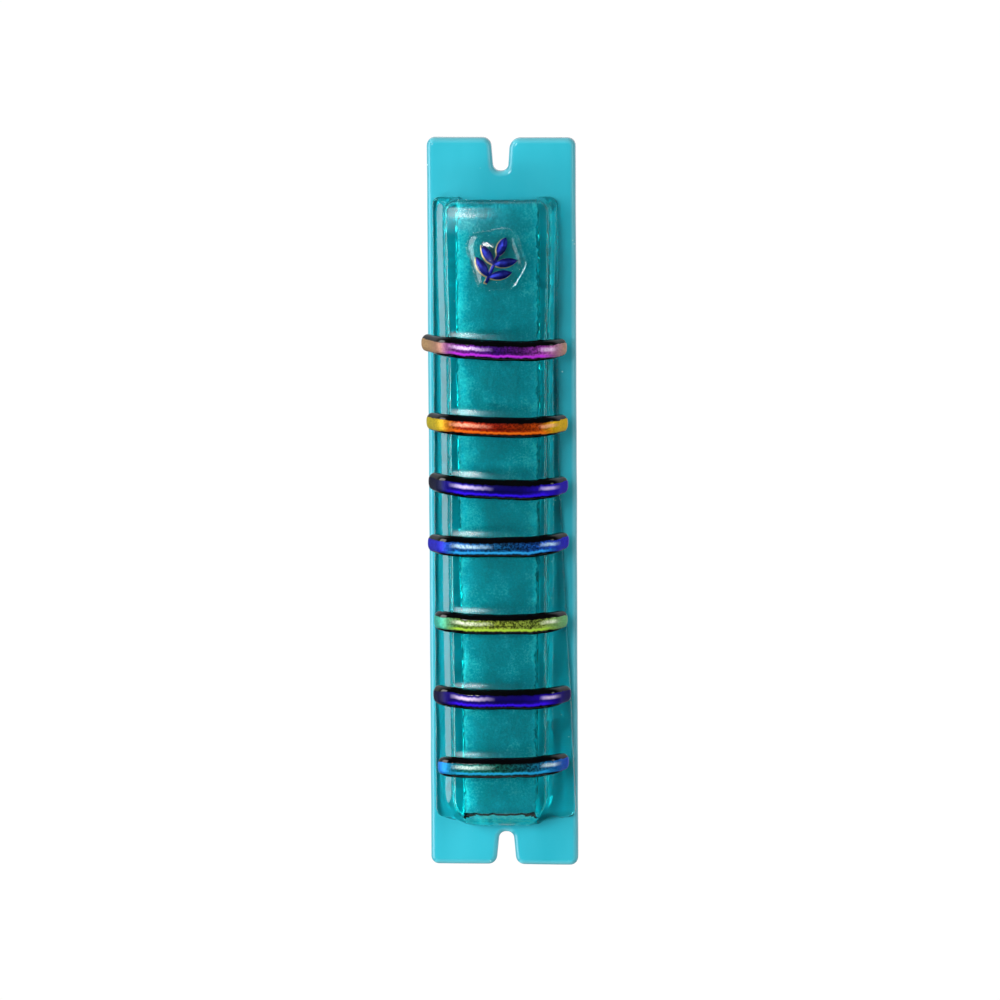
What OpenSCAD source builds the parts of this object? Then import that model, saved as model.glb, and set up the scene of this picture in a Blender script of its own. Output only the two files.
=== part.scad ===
// Fused-glass mezuzah case.
// An opaque glass back plate carries a clear slumped cover, which forms a pocket that is
// open at the top and closed at the bottom. Seven dichroic glass bands drape over the
// cover, a small cabochon traps a foil sprig near its top, and the pocket holds a rolled
// parchment that slides out upwards.
// X runs across the case and Z up its length. The front faces -Y, and "depth" below is the
// distance forward from the wall. The origin is the centre of the flat back face.

/* [Back plate] */
// Width of the back plate
plate_w = 31; // [30:0.5:36]
// Height of the back plate
plate_h = 152.4; // [150:0.2:160]
// Thickness of the back plate
plate_t = 3.2; // [3:0.1:5]
// Radius of the back plate's four corners
plate_corner_r = 1.3; // [0.5:0.1:3]

/* [Screw notches] */
// Width of each screw notch
notch_w = 3.5; // [3:0.1:4.5]
// Depth of the top notch, from the plate's edge to the notch's end
top_notch_depth = 7.1; // [5:0.1:9]
// Depth of the bottom notch
bottom_notch_depth = 6.7; // [5:0.1:7]
// Sideways offset of the bottom notch, which was ground by hand
bottom_notch_x = 0.3; // [-0.5:0.1:0.5]
// Radius of the rounded lips at a notch's mouth
notch_lip_r = 1.6; // [0.5:0.1:2.5]

/* [Cover] */
// Sideways offset of the pocket from the middle of the plate
pocket_x = -0.6; // [-1:0.1:-0.4]
// Thickness of the cover where it lies on the plate
flange_t = 2; // [1.5:0.1:3]
// Width of the raised part of the cover
dome_w = 21.2; // [20:0.1:21.6]
// Thickness of the cover over the pocket
roof_t = 2.6; // [2:0.1:3.5]
// Thickness of the cover below the pocket's closed lower end
end_wall_t = 2; // [1.6:0.1:2.2]
// Radius of the raised part's long shoulders
shoulder_r = 1.9; // [1.6:0.1:2.8]
// Radius of the raised part's lower corners, seen from the front
dome_corner_r = 5; // [3:0.1:7]
// Radius of the rounded nose at the raised part's lower end
nose_r = 6; // [4:0.1:7]
// Height above the middle of the plate at which the cover's top edge lies
cover_top = 63.6; // [60:0.1:66]
// Height at which the cover's lower edge lies, below the middle of the plate
cover_bottom = -66.5; // [-68:0.1:-66]
// How far the cover's lower edge bulges below that, in the middle
cover_bulge = 1.5; // [0.5:0.1:1.8]
// Left edge of the cover, from the middle of the plate
cover_left = -14.4; // [-14.8:0.1:-14]
// Right edge of the cover at its top
cover_right_top = 11.8; // [11.6:0.1:13.5]
// Right edge of the cover at its bottom
cover_right_bottom = 14.8; // [13.5:0.1:15]
// Height at which the right edge starts to flare outwards
cover_flare_z = 13; // [0:1:40]

/* [Pocket] */
// Width of the pocket
pocket_w = 16; // [15:0.1:16.4]
// Depth of the pocket, from the plate to the underside of the roof
pocket_d = 8.2; // [8.1:0.1:10]
// Height of the pocket's closed lower end
pocket_bottom = -64.1; // [-64.5:0.1:-60]

/* [Bands] */
// Width of a band, up the case
band_w = 4.3; // [4:0.1:5]
// Thickness of a band's black glass
band_t = 2.5; // [2:0.1:3]
// Width of the dichroic facing on a band
facing_w = 2.7; // [2:0.1:2.7]
// Thickness of the dichroic facing
facing_t = 0.3; // [0.2:0.05:0.5]
// Radius of a band's inner face where it bends over the shoulder
band_bend_r = 1.6; // [1.2:0.1:1.9]
// Angle through which a band's ends bend back towards the plate
band_bend = 55; // [45:1:57]

/* [Cabochon] */
// Sideways position of the cabochon
cabochon_x = -0.8; // [-2:0.1:1]
// Height of the cabochon above the middle of the plate
cabochon_z = 51.4; // [48:0.1:53]
// Thickness of the cabochon
cabochon_t = 2.2; // [1.5:0.1:3]
// Thickness of the foil sprig under the cabochon
sprig_t = 0.2; // [0.1:0.05:0.3]

/* [Parchment] */
// Height of the parchment sheet, which is also its length before it is rolled
parchment_size = 120; // [100:1:120]
// Thickness of the parchment
parchment_t = 0.2; // [0.15:0.01:0.2]
// Radius of the hollow in the middle of the roll
roll_core_r = 1.95; // [1.9:0.05:2]
// Gap under the roll where it stands in the pocket
roll_gap = 0.3; // [0.3:0.1:1]

/* [Hidden] */
$fn = 48;

// Each band, from the top down: [height, tilt in degrees (right end down), left reach,
// right reach], where the reaches are measured from the middle of the pocket
bands = [
    [ 33.1,  2.3, 16.2, 14.6],
    [ 17.0,  1.7, 15.2, 14.8],
    [  4.2,  2.5, 14.9, 14.7],
    [ -8.2, -0.1, 15.2, 14.9],
    [-24.1,  0.5, 13.9, 14.5],
    [-40.0,  0.3, 14.1, 15.1],
    [-54.2, -0.7, 13.2, 14.6]
];
// The dichroic colour of each band's facing, in the same order
facing_colours = [
    "orchid", "orangered", "mediumblue", "dodgerblue", "yellowgreen", "darkblue", "darkturquoise"
];

dome_d = plate_t + pocket_d + roof_t;
// Half the length of the flat middle of a band
band_flat = dome_w / 2 - band_bend_r;
band_corner_r = (band_w - facing_w) / 2;
roof_corner_r = 1.2;
flange_corner_r = 2.5;
wall_fillet_r = 1.6;
overcut = 1;

// Points of an arc, from angle a to angle b, as seen in the outline's own plane
function arc(centre, r, a, b, steps = 8) =
    [for (i = [0:steps]) centre + r * [cos(a + (b - a) * i / steps), sin(a + (b - a) * i / steps)]];

// Extrudes an outline drawn in (x, height) forwards, between two depths
module forward(from, to) {
    translate([0, -from, 0]) rotate([90, 0, 0]) linear_extrude(to - from) children();
}

// Extrudes a section drawn in (x, depth) upwards, between two heights
module upward(from, to) {
    translate([0, 0, from]) mirror([0, 1, 0]) linear_extrude(to - from) children();
}

// Extrudes a profile drawn in (height, depth) sideways, centred on x = 0
module sideways(width) {
    rotate(a = 180, v = [1, 0, 1]) linear_extrude(width, center = true) children();
}

// A rectangle with four round corners, centred
module round_rectangle(w, h, r) {
    square([w - 2 * r, h], center = true);
    square([w, h - 2 * r], center = true);
    for (x = [-1, 1], y = [-1, 1])
        translate([x * (w / 2 - r), y * (h / 2 - r)]) circle(r);
}

// A rectangle standing on y = 0 with its two upper corners rounded
module round_top(w, h, r) {
    translate([-w / 2, 0]) square([w, h - r]);
    translate([-w / 2 + r, 0]) square([w - 2 * r, h]);
    for (x = [-1, 1])
        translate([x * (w / 2 - r), h - r]) circle(r);
}

// The outline of one screw notch, open upwards at y = 0 and reaching down by depth
module notch(depth) {
    end_r = notch_w / 2;
    translate([-end_r, -depth + end_r]) square([notch_w, depth - end_r + overcut]);
    translate([0, -depth + end_r]) circle(end_r);
    difference() {
        translate([-end_r - notch_lip_r, -notch_lip_r])
            square([notch_w + 2 * notch_lip_r, notch_lip_r + overcut]);
        for (x = [-1, 1])
            translate([x * (end_r + notch_lip_r), -notch_lip_r]) circle(notch_lip_r);
    }
}

module back_plate() {
    color("mediumturquoise") forward(0, plate_t) difference() {
        round_rectangle(plate_w, plate_h, plate_corner_r);
        translate([0, plate_h / 2]) notch(top_notch_depth);
        translate([bottom_notch_x, -plate_h / 2]) mirror([0, 1]) notch(bottom_notch_depth);
    }
}

// Outline of the cover's flat rim: square at the top, rounded below, with a bulging lower
// edge and a right edge that flares outwards
module rim_outline() {
    r = flange_corner_r;
    middle = (cover_left + cover_right_bottom) / 2;
    half = (cover_right_bottom - cover_left) / 2 - r;
    bulge_r = (half * half + cover_bulge * cover_bulge) / (2 * cover_bulge);
    spread = asin(half / bulge_r);
    polygon(concat(
        [[cover_left, cover_top]],
        arc([cover_left + r, cover_bottom + r], r, 180, 270),
        arc([middle, cover_bottom - cover_bulge + bulge_r], bulge_r, 270 - spread, 270 + spread, 16),
        arc([cover_right_bottom - r, cover_bottom + r], r, 270, 360),
        [[cover_right_top, cover_flare_z], [cover_right_top, cover_top]]
    ));
}

// The raised part of the cover, solid: round shoulders along its sides, a round nose at its
// lower end and round lower corners
module dome() {
    low = pocket_bottom - end_wall_t;
    reach = cover_top - low;
    translate([pocket_x, 0, 0]) intersection() {
        upward(low, cover_top) translate([0, plate_t]) round_top(dome_w, pocket_d + roof_t, shoulder_r);
        sideways(dome_w) translate([low, plate_t]) {
            translate([nose_r, 0]) square([reach - nose_r, pocket_d + roof_t]);
            square([reach, pocket_d + roof_t - nose_r]);
            translate([nose_r, pocket_d + roof_t - nose_r]) circle(nose_r);
        }
        forward(plate_t, dome_d) {
            translate([-dome_w / 2, low + dome_corner_r]) square([dome_w, reach - dome_corner_r]);
            translate([-dome_w / 2 + dome_corner_r, low]) square([dome_w - 2 * dome_corner_r, reach]);
            for (x = [-1, 1])
                translate([x * (dome_w / 2 - dome_corner_r), low + dome_corner_r]) circle(dome_corner_r);
        }
    }
}

// The hollow fillets where the raised part's sides run out into the rim
module wall_fillets() {
    low = pocket_bottom + dome_corner_r;
    for (side = [-1, 1])
        translate([pocket_x, 0, 0]) upward(low, cover_top) difference() {
            translate([side * (dome_w + wall_fillet_r) / 2, plate_t + flange_t + wall_fillet_r / 2])
                square(wall_fillet_r, center = true);
            translate([side * (dome_w / 2 + wall_fillet_r), plate_t + flange_t + wall_fillet_r])
                circle(wall_fillet_r);
        }
}

module pocket() {
    translate([pocket_x, 0, 0]) upward(pocket_bottom, cover_top + overcut)
        translate([0, plate_t - overcut]) round_top(pocket_w, pocket_d + overcut, roof_corner_r);
}

module pocket_cover() {
    color("teal") difference() {
        union() {
            forward(plate_t, plate_t + flange_t) rim_outline();
            dome();
            wall_fillets();
        }
        pocket();
    }
}

// Sections across a band, drawn in (distance out from the cover, height)
module glass_section() {
    r = band_corner_r;
    polygon(concat(
        [[0, -band_w / 2]],
        arc([band_t - r, -band_w / 2 + r], r, -90, 0, 3),
        arc([band_t - r, band_w / 2 - r], r, 0, 90, 3),
        [[0, band_w / 2]]
    ));
}

module facing_section() {
    translate([band_t, -facing_w / 2]) square([facing_t, facing_w]);
}

// Sweeps a section straight along x, from 0 to a length, its inner face on y = 0
module straight(length) {
    rotate([-90, 0, -90]) linear_extrude(length) children();
}

// The end of a band: a quarter turn over the shoulder, cut off where the straight tail begins
module band_end(reach) {
    full_r = band_bend_r + band_t + facing_t;
    tail = (reach - band_flat - full_r * sin(band_bend)) / cos(band_bend);
    room = 2 * full_r;
    translate([band_flat, band_bend_r, 0]) {
        intersection() {
            rotate([0, 0, -90]) rotate_extrude(angle = 90) translate([band_bend_r, 0]) children();
            rotate([0, 0, band_bend]) translate([-room, -room, -room / 2]) cube(room);
        }
        rotate([0, 0, band_bend]) translate([0, -band_bend_r, 0]) straight(tail) children();
    }
}

// Sweeps a section along one band and places it on the cover, with its tilt
module band_sweep(band) {
    translate([pocket_x, -dome_d, band[0]]) rotate([0, band[1], 0]) {
        translate([-band_flat, 0, 0]) straight(2 * band_flat) children();
        band_end(band[3]) children();
        mirror([1, 0, 0]) band_end(band[2]) children();
    }
}

module band_glass(index) {
    color("black") band_sweep(bands[index]) glass_section();
}

module band_facing(index) {
    color(facing_colours[index]) band_sweep(bands[index]) facing_section();
}

// One leaf of the sprig: two arcs that meet in points, rising from the origin
module leaf(length, width) {
    r = (length * length + width * width) / (4 * width);
    translate([0, length / 2]) intersection() {
        translate([r - width / 2, 0]) circle(r);
        translate([width / 2 - r, 0]) circle(r);
    }
}

// The sprig seen from the front: a leaning stem with two pairs of leaves and one at its tip
module sprig_outline() {
    leaf_length = 4.6;
    leaf_width = 1.8;
    leaf_spread = 55;
    stem_w = 0.7;
    stem_length = 6.6;
    stem_overlap = 0.7;
    stem_lean = -24;
    pair_heights = [1.3, 4];
    middle = 5.1;
    rotate(stem_lean) translate([0, -middle]) {
        translate([-stem_w / 2, 0]) square([stem_w, stem_length]);
        translate([0, stem_length - stem_overlap]) leaf(leaf_length, leaf_width);
        for (height = pair_heights, side = [-1, 1])
            translate([0, height]) rotate(side * leaf_spread) leaf(leaf_length, leaf_width);
    }
}

module foil_sprig() {
    color("midnightblue") translate([cabochon_x, 0, cabochon_z])
        forward(dome_d, dome_d + sprig_t) sprig_outline();
}

// A smooth pebble with a flat back, its outline a rounded shield
module cabochon() {
    corner_r = 3.4;
    around = 28;
    turn_step = 15;
    corners = [[-2.9, 2.7], [1.6, 3.5], [3.0, -0.6], [1.5, -3.2], [-1.1, -3.5]];
    color("paleturquoise", 0.5) difference() {
        translate([cabochon_x, -dome_d, cabochon_z]) rotate([90, 0, 0]) hull()
            for (corner = corners)
                translate(corner) rotate_extrude($fn = around) polygon(concat(
                    [[0, 0]],
                    [for (a = [0:turn_step:90]) [corner_r * cos(a), cabochon_t * sin(a)]]
                ));
        foil_sprig();
    }
}

// A sheet wound into a spiral, seen from above
module spiral_sheet() {
    turn_gap = 0.03;
    pitch = parchment_t + turn_gap;
    step = 15;
    growth = pitch / 360;
    // Length wound on is the mean radius times the angle, so the angle solves a quadratic
    turn = (-roll_core_r + sqrt(roll_core_r * roll_core_r + 4 * growth / 2 * parchment_size * 180 / PI))
        / growth;
    count = floor(turn / step);
    function ring(offset, i) = (roll_core_r + offset + growth * i * step) * [cos(i * step), sin(i * step)];
    polygon(concat(
        [for (i = [0:count]) ring(0, i)],
        [for (i = [count:-1:0]) ring(parchment_t, i)]
    ));
}

module parchment_roll() {
    low = pocket_bottom + roll_gap;
    color("wheat") translate([pocket_x, -plate_t - pocket_d / 2, low])
        linear_extrude(parchment_size) spiral_sheet();
}

back_plate();
pocket_cover();
for (i = [0:len(bands) - 1]) {
    band_glass(i);
    band_facing(i);
}
cabochon();
foil_sprig();
parchment_roll();
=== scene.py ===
"""Looks for the fused-glass mezuzah case: kiln-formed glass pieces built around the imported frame.

Builders work in millimetres as (x, depth, z): x to the right, depth forward from the wall, z up.
"""

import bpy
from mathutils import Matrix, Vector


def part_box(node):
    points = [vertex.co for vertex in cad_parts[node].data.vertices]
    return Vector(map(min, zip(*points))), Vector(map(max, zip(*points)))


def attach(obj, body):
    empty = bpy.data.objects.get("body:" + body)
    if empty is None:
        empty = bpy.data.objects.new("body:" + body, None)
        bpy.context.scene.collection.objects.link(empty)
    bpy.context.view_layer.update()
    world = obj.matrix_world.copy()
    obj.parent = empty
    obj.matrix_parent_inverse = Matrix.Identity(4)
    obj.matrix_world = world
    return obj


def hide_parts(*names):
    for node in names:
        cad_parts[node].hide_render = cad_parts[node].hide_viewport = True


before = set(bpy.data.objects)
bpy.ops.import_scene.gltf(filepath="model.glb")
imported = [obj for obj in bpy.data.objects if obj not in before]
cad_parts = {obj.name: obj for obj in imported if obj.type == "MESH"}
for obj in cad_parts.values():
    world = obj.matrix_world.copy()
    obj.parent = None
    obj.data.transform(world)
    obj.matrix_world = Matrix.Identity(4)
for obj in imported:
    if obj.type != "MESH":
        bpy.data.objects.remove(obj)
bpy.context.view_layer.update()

import math

import bpy
import numpy as np
from mathutils import Matrix, Vector, noise
from mathutils.geometry import delaunay_2d_cdt

MM = 0.001
CASE = "case"
SCROLL = "scroll"


# ------------------------ measures from the frame

def box_mm(node):
    """A CAD node's extent as (x range, depth range, z range), in millimetres."""
    low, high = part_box(node)
    return (low.x / MM, high.x / MM), (-high.y / MM, -low.y / MM), (low.z / MM, high.z / MM)


PLATE_X, PLATE_DEPTH, PLATE_Z = box_mm("back_plate")
COVER_X, COVER_DEPTH, COVER_Z = box_mm("pocket_cover")
ROLL_X, ROLL_DEPTH, ROLL_Z = box_mm("parchment_roll")
CABOCHON_X, CABOCHON_DEPTH, CABOCHON_Z = box_mm("cabochon")
PLATE_T = PLATE_DEPTH[1]
ROOF = COVER_DEPTH[1]
POCKET_X = (ROLL_X[0] + ROLL_X[1]) / 2
ROLL_CENTRE_DEPTH = (ROLL_DEPTH[0] + ROLL_DEPTH[1]) / 2

# The cover's own shape: lengths in millimetres, and the slope of the raised part's walls
FLANGE_T = 2.0
ROOF_T = 2.6
ROOF_CROWN = 0.65
ROOF_HALF = 8.0
WALL_SLOPE = math.radians(87)
POCKET_ROOF = ROOF - ROOF_T
POCKET_BOTTOM = ROLL_Z[0] - 0.3
NOSE_LENGTH = 6.2


def crown(x):
    """How far the slumped roof falls away from its middle, at x."""
    return -ROOF_CROWN * ((x - POCKET_X) / ROOF_HALF) ** 2


def wander(x, z, size, seed):
    """Smooth noise from about -1 to 1 over the given size, always the same for one seed."""
    seed_gap = 7.31
    return noise.noise(Vector((x / size, z / size, seed * seed_gap)))


def smooth_step(value, low, high):
    """0 below low, 1 above high, and an even curve between."""
    t = min(1.0, max(0.0, (value - low) / (high - low)))
    return t * t * (3 - 2 * t)


# ------------------------ meshes

def place(point):
    """A point in the frame's own metres."""
    x, depth, z = point
    return (x * MM, -depth * MM, z * MM)


def add_object(name, data):
    """A new object that stands in the scene."""
    obj = bpy.data.objects.new(name, data)
    bpy.context.scene.collection.objects.link(obj)
    return obj


def make_piece(name, points, faces, body, nodes, material):
    """Turns points in millimetres and faces into a smooth piece that rides on a body."""
    mesh = bpy.data.meshes.new(name)
    mesh.from_pydata([place(p) for p in points], [], faces)
    mesh.validate()
    mesh.update()
    mesh.shade_smooth()
    piece = add_object(name, mesh)
    mesh.materials.append(material)
    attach(piece, body)
    if nodes:
        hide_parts(*nodes)
    return piece


def point_attribute(piece, name, values):
    """Keeps a number at each of a mesh's points, for its material to read."""
    attribute = piece.data.attributes.new(name, "FLOAT", "POINT")
    attribute.data.foreach_set("value", np.asarray(values, np.float32))


def strips(row_count, row_length, closed=False, first=0, flip=False):
    """Quads between successive rows of points; closed rows join end to end."""
    faces = []
    span = row_length if closed else row_length - 1
    for r in range(row_count - 1):
        a, b = first + r * row_length, first + (r + 1) * row_length
        for i in range(span):
            j = (i + 1) % row_length
            quad = (a + i, a + j, b + j, b + i)
            faces.append(quad[::-1] if flip else quad)
    return faces


def cap(first, count, flip=False):
    """One face over a closed row of points."""
    face = tuple(range(first, first + count))
    return face[::-1] if flip else face


def thick_sheet(row_count, row_length):
    """Faces of a thick sheet: a front grid of points, a back one after it, and the edges between."""
    back = row_count * row_length
    faces = strips(row_count, row_length, flip=True) + strips(row_count, row_length, first=back)
    last = back - row_length
    for k in range(row_length - 1):
        faces.append((k, k + 1, back + k + 1, back + k))
        faces.append((last + k + 1, last + k, back + last + k, back + last + k + 1))
    for r in range(row_count - 1):
        a, b = r * row_length, (r + 1) * row_length
        faces.append((a, back + a, back + b, b))
        a, b = a + row_length - 1, b + row_length - 1
        faces.append((b, back + b, back + a, a))
    return faces


# ------------------------ back plate

def rounded_outline(corners, steps=10):
    """Points along a polygon whose corners, given as (x, z, radius), are rounded."""
    points = []
    for i, (x, z, radius) in enumerate(corners):
        here = Vector((x, z))
        before = (Vector(corners[i - 1][:2]) - here).normalized()
        after = (Vector(corners[(i + 1) % len(corners)][:2]) - here).normalized()
        half_angle = before.angle(after) / 2
        centre = here + (before + after).normalized() * radius / math.sin(half_angle)
        start = here + before * radius / math.tan(half_angle) - centre
        end = here + after * radius / math.tan(half_angle) - centre
        turn = start.angle_signed(end)
        points += [centre + Matrix.Rotation(-turn * k / steps, 2) @ start for k in range(steps + 1)]
    return points


def resample(points, spacing):
    """The same closed line, with points about one spacing apart."""
    line = [Vector(p) for p in points] + [Vector(points[0])]
    lengths = [0.0]
    for a, b in zip(line, line[1:]):
        lengths.append(lengths[-1] + (b - a).length)
    count = round(lengths[-1] / spacing)
    at = np.linspace(0, lengths[-1], count, endpoint=False)
    xs, ys = [p.x for p in line], [p.y for p in line]
    return [Vector((np.interp(s, lengths, xs), np.interp(s, lengths, ys))) for s in at]


def plate_outline():
    """The plate's edge: slightly uneven sides, and a flared, hand-ground notch at each end."""
    (left, right), (bottom, top) = PLATE_X, PLATE_Z
    end_r, lip_r, corner_r = 1.4, 1.9, 1.7
    top_depth, bottom_depth, bottom_x = 7.3, 6.7, 0.3
    spacing, ground_off = 0.4, 0.06
    corners = [
        (left, bottom - 0.05, corner_r),
        (bottom_x - 2.05, bottom - 0.2, lip_r), (bottom_x - 1.4, bottom + bottom_depth, end_r),
        (bottom_x + 1.45, bottom + bottom_depth, end_r), (bottom_x + 2.0, bottom - 0.25, lip_r),
        (right - 0.2, bottom - 0.4, corner_r), (right, top - 0.45, corner_r),
        (1.75, top - 0.35, lip_r + 0.5), (1.35, top - top_depth, end_r),
        (-1.6, top - top_depth, end_r), (-2.1, top - 0.3, lip_r),
        (left, top - 0.25, corner_r),
    ]
    outline = resample(rounded_outline(corners), spacing)
    moved = []
    for i, p in enumerate(outline):
        along = outline[(i + 1) % len(outline)] - outline[i - 1]
        inward = Vector((-along.y, along.x)).normalized()
        moved.append((p + inward * (ground_off + ground_off * wander(p.x, p.y, 9, 1)), inward))
    return moved


def build_plate(material):
    """A slab with fire-polished front edges, crisper back edges and a faintly uneven front."""
    outline = plate_outline()
    front_r, back_r = 1.15, 0.35
    low_margin, high_margin, notch_half, notch_reach, unevenness = 2, 1.6, 4.2, 9.5, 0.05
    side_turn = 0.7
    profile = [(back_r * (1 - math.sin(a)), back_r * (1 - math.cos(a)))
               for a in np.linspace(0, math.pi / 2, 4)]
    profile += [(front_r * (1 - math.cos(a)), PLATE_T - front_r + front_r * math.sin(a))
                for a in np.linspace(0, math.pi / 2, 8)]
    points = []
    for inset, depth in profile:
        points += [(p.x + n.x * inset, depth, p.y + n.y * inset) for p, n in outline]
    count = len(outline)
    faces = strips(len(profile), count, closed=True)

    def fill(ring_start, depth, spacing, flip):
        """Closes one face of the slab; points inside it, where spaced, let it undulate."""
        ring = [Vector((points[ring_start + i][0], points[ring_start + i][2])) for i in range(count)]
        inner = []
        if spacing:
            for x in np.arange(PLATE_X[0] + low_margin, PLATE_X[1] - high_margin, spacing):
                for z in np.arange(PLATE_Z[0] + low_margin, PLATE_Z[1] - high_margin, spacing):
                    in_notch = abs(x) < notch_half and abs(z) > PLATE_Z[1] - notch_reach
                    if not in_notch:
                        inner.append(Vector((x, z)))
        loop = [list(range(count))]
        keep_inside, merge_distance = 1, 1e-6
        verts, _, tris, sources, _, _ = delaunay_2d_cdt(ring + inner, [], loop, keep_inside,
                                                        merge_distance)
        index = []
        for vert, source in zip(verts, sources):
            if source and source[0] < count:
                index.append(ring_start + source[0])
            else:
                index.append(len(points))
                wave = unevenness * wander(vert.x, vert.y, 7, 2)
                points.append((vert.x, depth + wave, vert.y))
        for tri in tris:
            face = tuple(index[i] for i in tri)
            faces.append(face[::-1] if flip else face)

    fill((len(profile) - 1) * count, PLATE_T, 1.5, False)
    fill(0, 0.0, 0, True)
    piece = make_piece("plate", points, faces, CASE, ["back_plate"], material)
    flat = [0.0] * (len(points) - len(profile) * count)
    # Masks for the material: a paler painted highlight along the front edges, and painted shade on the
    # left edge instead
    on_left = [inward.x > side_turn for _, inward in outline]
    for name, wanted in (("rim", False), ("left_rim_painted_shade", True)):
        rim = [(1 - inset / front_r) * (left == wanted) for inset, _ in profile for left in on_left]
        point_attribute(piece, name, rim + flat)


# ------------------------ slumped cover

RIM_STEPS, FLAT_STEPS, FILLET_STEPS, WALL_STEPS, SHOULDER_STEPS, ROOF_STEPS = 6, 6, 10, 5, 9, 64
SIDE_STEPS = FILLET_STEPS + WALL_STEPS + SHOULDER_STEPS
CORNER_STEPS = 6
ROW_STEP, LIP_ROWS, NOSE_ROWS = 0.4, 8, 48
COVER_TOP, COVER_TIP = COVER_Z[1], COVER_Z[0]
NOSE_TOP = -60
FULL_RISE = ROOF - PLATE_T - FLANGE_T
EDGE_T = 0.05
LIP_R = 1.3

# Material slots of the cover, after its clear glass
FROSTED, FOLD, FUSED = 1, 2, 3


def corner_inset(gap, radius):
    """How far a corner rounded by radius has drawn in, at a gap from its edge."""
    gap = min(max(gap, 0.0), radius)
    return radius - math.sqrt(radius ** 2 - (radius - gap) ** 2)


def edge_height(gap, radius):
    """Share of full height on a rounded edge, at a gap from its rim."""
    share = min(1.0, max(0.0, gap / radius))
    return math.sqrt(max(0.0, 1 - (1 - share) ** 2))


def cover_left(z):
    """The left edge is straight but for its rounded top corner and the kiln's unevenness."""
    corner_r, uneven = 1.6, 0.07
    return COVER_X[0] + uneven * wander(0, z, 12, 3) + corner_inset(COVER_TOP - z, corner_r)


def cover_right(z):
    """The right edge flares outwards down the case."""
    top_x, corner_r, flare, uneven = 11.8, 2.0, 3.2, 0.1
    down = (COVER_TOP - z) / (COVER_TOP - COVER_TIP)
    flare *= smooth_step(down, 0.33, 1.05)
    return top_x + flare + uneven * wander(3, z, 14, 4) - corner_inset(COVER_TOP - z, corner_r)


def cover_drift(x, z):
    """Lifts the lowest rows onto the cover's curved lower edge."""
    side_lift, left_r, right_r = 1.6, 2.4, 2.0
    bulge = 1 - smooth_step(abs(x - POCKET_X), 5.5, 11.5)
    lift = side_lift * (1 - bulge)
    lift += corner_inset(x - cover_left(z), left_r) + corner_inset(cover_right(z) - x, right_r)
    return lift * smooth_step(-z, 61.5, -COVER_TIP)


def dome_half(z):
    """Half the raised part's width: flared at the mouth, round-cornered above and below."""
    half, flare, mouth_r, most_inset, taper, nose_r, uneven = 10.3, 0.6, 2.6, 2.2, 0.45, 7.5, 0.07
    corner = min(most_inset, corner_inset(COVER_TOP - z, mouth_r))
    mouth = flare * (1 - smooth_step(COVER_TOP - z, 8, 40)) - corner
    nose = 6.4 * (1 - edge_height(z - COVER_TIP, nose_r))
    return half + mouth - taper * smooth_step(-z, -20, 60) - nose + uneven * wander(1, z, 10, 5)


def dome_side(half, rise, bevel):
    """One side of the raised part as (distance from the middle, height above the flange).

    The foot is a slope of the bevel's width between two tight bends."""
    steep_rise, least_rise, least_slope, bend = 4, 0.02, 0.05, 0.12
    slope = WALL_SLOPE * smooth_step(rise, 0, steep_rise)
    rise = max(rise, least_rise)
    shoulder_r = min(0.65, 0.4 * rise)
    fillet_r = min(0.7, 0.3 * rise)
    lean = min(math.radians(40), slope)
    width = bevel * min(1.0, rise / steep_rise)
    tan = math.tan(max(slope, least_slope))
    low = fillet_r * (1 - math.cos(slope)) + width * math.tan(lean)
    high = rise - shoulder_r * (1 - math.cos(slope))

    def wall(h):
        return half - (h - rise / 2) / tan

    foot = wall(low) + fillet_r * math.sin(slope) + width
    edge = wall(high) - shoulder_r * math.sin(slope)
    side = []
    for k in range(FILLET_STEPS):
        angle = slope * k / FILLET_STEPS
        past = smooth_step(angle, lean - bend, lean + bend) * width
        side.append((foot - fillet_r * math.sin(angle) - past,
                     fillet_r * (1 - math.cos(angle)) + past * math.tan(lean)))
    side += [(wall(h), h) for h in np.linspace(low, high, WALL_STEPS, endpoint=False)]
    side += [(edge + shoulder_r * math.sin(a), rise - shoulder_r * (1 - math.cos(a)))
             for a in np.linspace(slope, 0, SHOULDER_STEPS, endpoint=False)]
    return side, edge


def cover_outer(left, right, half, rise, thick):
    """The cover's outer section, from its left edge over the raised part to its right edge."""
    edge_r = 0.35
    angles = np.linspace(0, math.pi / 2, RIM_STEPS, endpoint=False)
    halves = []
    for edge, sign, bevel in ((left, 1, 1.15), (right, -1, 0.4)):
        side, shoulder = dome_side(half, rise, bevel)
        foot = POCKET_X - sign * side[0][0]
        flat = np.linspace(edge + sign * edge_r, foot, FLAT_STEPS, endpoint=False)
        part = [(edge + sign * edge_r * (1 - math.cos(a)), EDGE_T + (thick - EDGE_T) * math.sin(a))
                for a in angles]
        part += [(x, thick) for x in flat]
        part += [(POCKET_X - sign * d, thick + h) for d, h in side]
        halves.append(part)
    roof = [(POCKET_X + d, thick + rise) for d in np.linspace(-shoulder, shoulder, ROOF_STEPS + 1)]
    return [(x, PLATE_T + h) for x, h in halves[0] + roof + halves[1][::-1]]


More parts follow.
